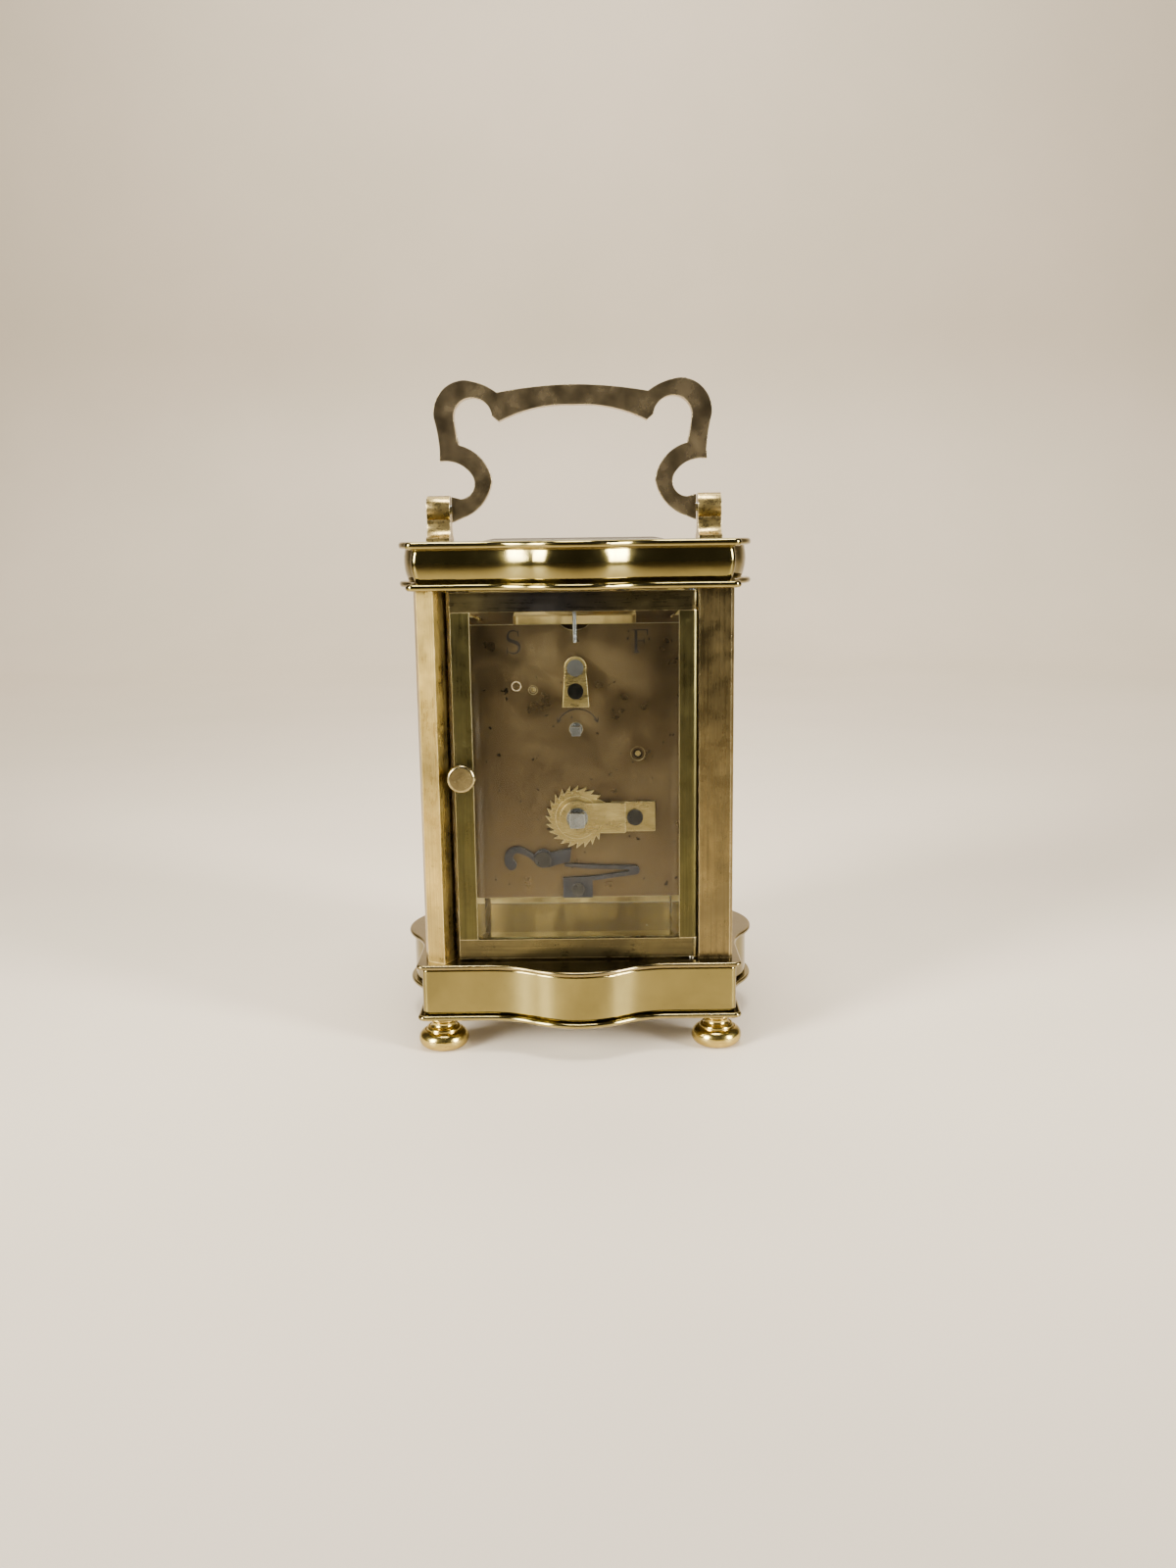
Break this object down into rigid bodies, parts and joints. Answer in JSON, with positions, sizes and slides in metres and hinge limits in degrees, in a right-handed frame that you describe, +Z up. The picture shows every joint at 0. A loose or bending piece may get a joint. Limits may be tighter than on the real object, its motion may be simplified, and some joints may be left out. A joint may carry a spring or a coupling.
{
  "type": "carriage clock",
  "caption": "Brass carriage timepiece with a bow-sided glazed case, folding scrolled handle, hinged rear door, spring barrel, going train and platform lever escapement.",
  "frame": {"origin": "centre of the four feet on the surface the clock stands on", "axes": "+Z up, -Y out of the rear door, +Y out of the dial, +X to the right as seen from the rear"},
  "size_m": [0.0918, 0.085, 0.1643],
  "materials": {
    "brass_case": "polished, aged",
    "brass_pillar": "brushed along its length",
    "brass_feet": "polished",
    "brass_door": "dark, aged satin",
    "brass_handle": "satin, worn",
    "brass_plate": "aged satin",
    "brass_train": "satin",
    "gilt_mask": "matt gilt",
    "glass": "clear, polished bevels",
    "steel": "grey, satin",
    "steel_dark": "blackened by bluing and age",
    "steel_blued": "blued, polished",
    "enamel": "vitreous white enamel, glossy"
  },
  "bodies": {
    "case": {"base_lower_frame": "brass_case", "base_band": "brass_case", "base_plate": "brass_case", "feet": "brass_feet", "cornice_plate": "brass_case", "cornice_band": "brass_case", "top_plate": "brass_case", "top_glass": "glass", "pillar_rear_right": "brass_pillar", "pillar_rear_left": "brass_pillar", "pillars_front": "brass_pillar", "front_glass": "glass", "side_glasses": "glass", "case_screws": "steel", "handle_posts": "brass_case", "dial_mask": "gilt_mask", "dial": "enamel", "back_plate": "brass_plate", "front_plate": "brass_plate", "movement_pillars": "brass_plate", "plate_screws": "steel_blued", "movement_feet": "brass_plate", "ratchet_bridge": "brass_plate", "click_spring": "steel_dark", "contrate_cock": "brass_plate", "contrate_potence": "brass_plate", "small_screws": "steel_dark", "platform": "brass_train", "escape_potence": "brass_train", "escape_cock": "brass_train", "balance_cock": "brass_train"},
    "handle": {"handle": "brass_handle", "handle_pivots": "steel"},
    "door": {"door_hinge_stile": "brass_door", "door_knob_stile": "brass_door", "door_bottom_rail": "brass_door", "door_top_rail": "brass_door", "door_glass": "glass", "door_knob": "brass_case", "door_hinge_pins": "steel"},
    "barrel": {"barrel": "brass_train", "barrel_cap": "brass_train", "mainspring": "steel_dark"},
    "winding": {"barrel_arbor": "steel", "ratchet_wheel": "brass_plate"},
    "click": {"click": "steel_dark"},
    "intermediate": {"intermediate_wheel": "brass_train"},
    "centre": {"centre_wheel": "brass_train", "centre_arbor": "steel", "minute_hand": "steel_blued"},
    "third": {"third_wheel": "brass_train"},
    "contrate": {"contrate_wheel": "brass_train"},
    "escape": {"escape_wheel": "steel"},
    "lever": {"lever": "steel"},
    "balance": {"balance_wheel": "brass_train", "balance_spring": "steel_blued"},
    "regulator": {"regulator": "steel"},
    "minute_work": {"minute_wheel": "brass_train"},
    "hour_work": {"hour_wheel": "brass_train", "hour_hand": "steel_blued"}
  },
  "joints": [
    {"name": "handle_fold", "type": "hinge", "parent": "case", "child": "handle", "pos_m": [0, 0, 0.1327], "axis": [1, 0, 0], "range_deg": [-100, 100]},
    {"name": "door_swing", "type": "hinge", "parent": "case", "child": "door", "pos_m": [0.0279, -0.0305, 0.0669], "axis": [0, 0, 1], "range_deg": [0, 95]},
    {"name": "hands_turn", "type": "hinge", "parent": "case", "child": "centre", "pos_m": [0, 0, 0.0789], "axis": [0, -1, 0], "continuous": true},
    {"name": "intermediate_turn", "type": "hinge", "parent": "case", "child": "intermediate", "pos_m": [0.0152, 0, 0.0725], "axis": [0, -1, 0], "continuous": true},
    {"name": "barrel_turn", "type": "hinge", "parent": "case", "child": "barrel", "pos_m": [0, 0, 0.0569], "axis": [0, -1, 0], "continuous": true},
    {"name": "third_turn", "type": "hinge", "parent": "case", "child": "third", "pos_m": [-0.0104, 0, 0.0886], "axis": [0, -1, 0], "continuous": true},
    {"name": "contrate_turn", "type": "hinge", "parent": "case", "child": "contrate", "pos_m": [0, 0, 0.0884], "axis": [0, -1, 0], "continuous": true},
    {"name": "escape_turn", "type": "hinge", "parent": "case", "child": "escape", "pos_m": [0, -0.00338, 0.1069], "axis": [0, 0, -1], "continuous": true},
    {"name": "minute_wheel_turn", "type": "hinge", "parent": "case", "child": "minute_work", "pos_m": [0.00611, 0, 0.07279], "axis": [0, -1, 0], "continuous": true},
    {"name": "hour_turn", "type": "hinge", "parent": "case", "child": "hour_work", "pos_m": [0, 0, 0.0789], "axis": [0, -1, 0], "continuous": true},
    {"name": "winding_turn", "type": "hinge", "parent": "case", "child": "winding", "pos_m": [0, 0, 0.0569], "axis": [0, -1, 0], "continuous": true},
    {"name": "click_lift", "type": "hinge", "parent": "case", "child": "click", "pos_m": [-0.0087, -0.0233, 0.0463], "axis": [0, 1, 0], "range_deg": [0, 8], "stiffness_Nm_per_rad": 0.004, "springref_deg": -11.46, "deforming": ["click_spring"]},
    {"name": "lever_rock", "type": "hinge", "parent": "case", "child": "lever", "pos_m": [0, -0.00756, 0.1069], "axis": [0, 0, 1], "range_deg": [-5, 5]},
    {"name": "balance_swing", "type": "hinge", "parent": "case", "child": "balance", "pos_m": [0, -0.012, 0.1089], "axis": [0, 0, 1], "range_deg": [-270, 270], "stiffness_Nm_per_rad": 0.0000025},
    {"name": "regulator_turn", "type": "hinge", "parent": "case", "child": "regulator", "pos_m": [0, -0.012, 0.1119], "axis": [0, 0, 1], "range_deg": [-18, 18]}
  ],
  "couplings": [
    {"joint": "contrate_turn", "follows": "hands_turn", "ratio": 60},
    {"joint": "intermediate_turn", "follows": "hands_turn", "ratio": -0.25},
    {"joint": "barrel_turn", "follows": "hands_turn", "ratio": 0.035714},
    {"joint": "third_turn", "follows": "hands_turn", "ratio": -8},
    {"joint": "escape_turn", "follows": "hands_turn", "ratio": 600},
    {"joint": "minute_wheel_turn", "follows": "hands_turn", "ratio": -0.33333},
    {"joint": "hour_turn", "follows": "hands_turn", "ratio": 0.083333}
  ]
}
